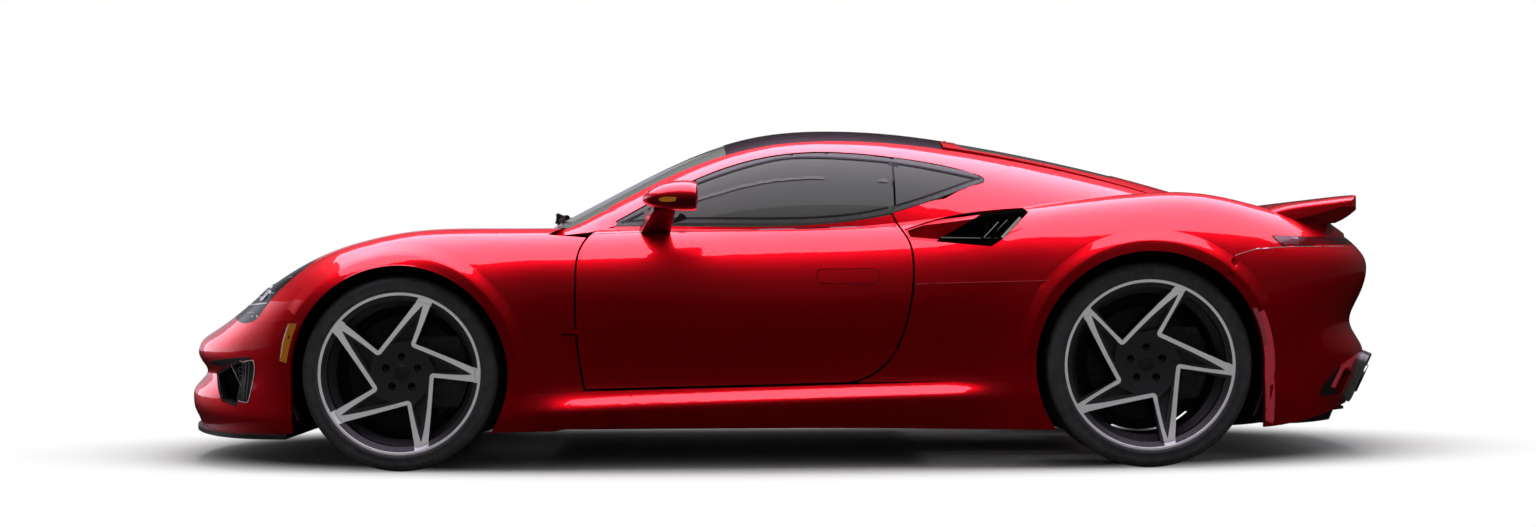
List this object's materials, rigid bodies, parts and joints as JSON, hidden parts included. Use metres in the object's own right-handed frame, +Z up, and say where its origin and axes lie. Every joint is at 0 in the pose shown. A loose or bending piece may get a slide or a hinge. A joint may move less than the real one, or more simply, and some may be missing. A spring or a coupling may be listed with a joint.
{
  "type": "coupe car",
  "caption": "Two-door mid-engined coupe with opening doors, hood and engine lid, steered front wheels and free-turning wheels.",
  "frame": {"origin": "on the ground, midway along the car and on its middle plane", "axes": "-X towards the nose, +Y towards the right side, +Z up"},
  "size_m": [4.2483, 2.1822, 1.1773],
  "materials": {
    "red_paint": "candy red clear-coated paint",
    "roof_paint": "dark tinted clear coat",
    "dark_trim": "satin black trim",
    "matte_black": "grained black plastic",
    "clear_glass": "lightly tinted glass",
    "lamp_lens": "smoked lamp lens",
    "red_lens": "red lamp lens",
    "rim_metal": "dark alloy with machined faces",
    "tyre_rubber": "black tyre rubber",
    "disc_iron": "ground brake disc",
    "carrier_metal": "cast alloy",
    "frame_metal": "pressed and welded alloy",
    "engine_metal": "cast block",
    "seat_leather": "dark grained leather",
    "steel": "brushed stainless steel"
  },
  "bodies": {
    "body": {"front_fenders": "red_paint", "front_bumper": "red_paint", "roof_panel": "roof_paint", "roof_rails": "red_paint", "windshield": "clear_glass", "quarter_glass": "clear_glass", "rear_quarters": "red_paint", "side_skirts": "red_paint", "rear_bumper": "red_paint", "tail_lights": "red_lens", "headlights": "lamp_lens", "front_splitter": "dark_trim", "side_intakes": "dark_trim", "wheel_liners": "matte_black", "rear_uprights": "carrier_metal", "suspension_arms": "frame_metal", "floor_tub": "matte_black", "subframes": "frame_metal", "engine_block": "engine_metal", "seats": "seat_leather", "dashboard": "matte_black", "steering_wheel": "seat_leather", "nose_grilles": "matte_black", "rear_spoiler": "red_paint", "diffuser": "dark_trim", "exhaust_tips": "steel"},
    "hood": {"hood": "red_paint"},
    "engine_lid": {"engine_lid": "red_paint", "rear_glass": "clear_glass"},
    "door_left": {"door_left": "red_paint", "door_glass_left": "clear_glass", "mirror_left": "red_paint"},
    "door_right": {"door_right": "red_paint", "door_glass_right": "clear_glass", "mirror_right": "red_paint"},
    "knuckle_left": {"knuckle_left": "carrier_metal"},
    "knuckle_right": {"knuckle_right": "carrier_metal"},
    "wheel_front_left": {"rim_front_left": "rim_metal", "tyre_front_left": "tyre_rubber", "brake_disc_front_left": "disc_iron"},
    "wheel_front_right": {"rim_front_right": "rim_metal", "tyre_front_right": "tyre_rubber", "brake_disc_front_right": "disc_iron"},
    "wheel_rear_left": {"rim_rear_left": "rim_metal", "tyre_rear_left": "tyre_rubber", "brake_disc_rear_left": "disc_iron"},
    "wheel_rear_right": {"rim_rear_right": "rim_metal", "tyre_rear_right": "tyre_rubber", "brake_disc_rear_right": "disc_iron"}
  },
  "joints": [
    {"name": "hood_hinge", "type": "hinge", "parent": "body", "child": "hood", "pos_m": [-0.83, 0, 0.77], "axis": [0, 1, 0], "range_deg": [0, 55]},
    {"name": "engine_lid_hinge", "type": "hinge", "parent": "body", "child": "engine_lid", "pos_m": [0.4745, 0, 1.114], "axis": [0, -1, 0], "range_deg": [0, 50]},
    {"name": "door_left_hinge", "type": "hinge", "parent": "body", "child": "door_left", "pos_m": [-0.785, -0.869, 0.555], "axis": [0, 0, -1], "range_deg": [0, 62]},
    {"name": "door_right_hinge", "type": "hinge", "parent": "body", "child": "door_right", "pos_m": [-0.785, 0.869, 0.555], "axis": [0, 0, 1], "range_deg": [0, 62]},
    {"name": "steer_left", "type": "hinge", "parent": "body", "child": "knuckle_left", "pos_m": [-1.263, -0.724, 0.3275], "axis": [0, 0, 1], "range_deg": [-30, 30]},
    {"name": "steer_right", "type": "hinge", "parent": "body", "child": "knuckle_right", "pos_m": [-1.263, 0.724, 0.3275], "axis": [0, 0, 1], "range_deg": [-30, 30]},
    {"name": "wheel_front_left_spin", "type": "hinge", "parent": "knuckle_left", "child": "wheel_front_left", "pos_m": [-1.263, -0.8, 0.3275], "axis": [0, 1, 0], "continuous": true},
    {"name": "wheel_rear_left_spin", "type": "hinge", "parent": "body", "child": "wheel_rear_left", "pos_m": [1.237, -0.8, 0.343], "axis": [0, 1, 0], "continuous": true},
    {"name": "wheel_front_right_spin", "type": "hinge", "parent": "knuckle_right", "child": "wheel_front_right", "pos_m": [-1.263, 0.8, 0.3275], "axis": [0, 1, 0], "continuous": true},
    {"name": "wheel_rear_right_spin", "type": "hinge", "parent": "body", "child": "wheel_rear_right", "pos_m": [1.237, 0.8, 0.343], "axis": [0, 1, 0], "continuous": true}
  ],
  "couplings": [
    {"joint": "steer_right", "follows": "steer_left", "ratio": 1}
  ]
}
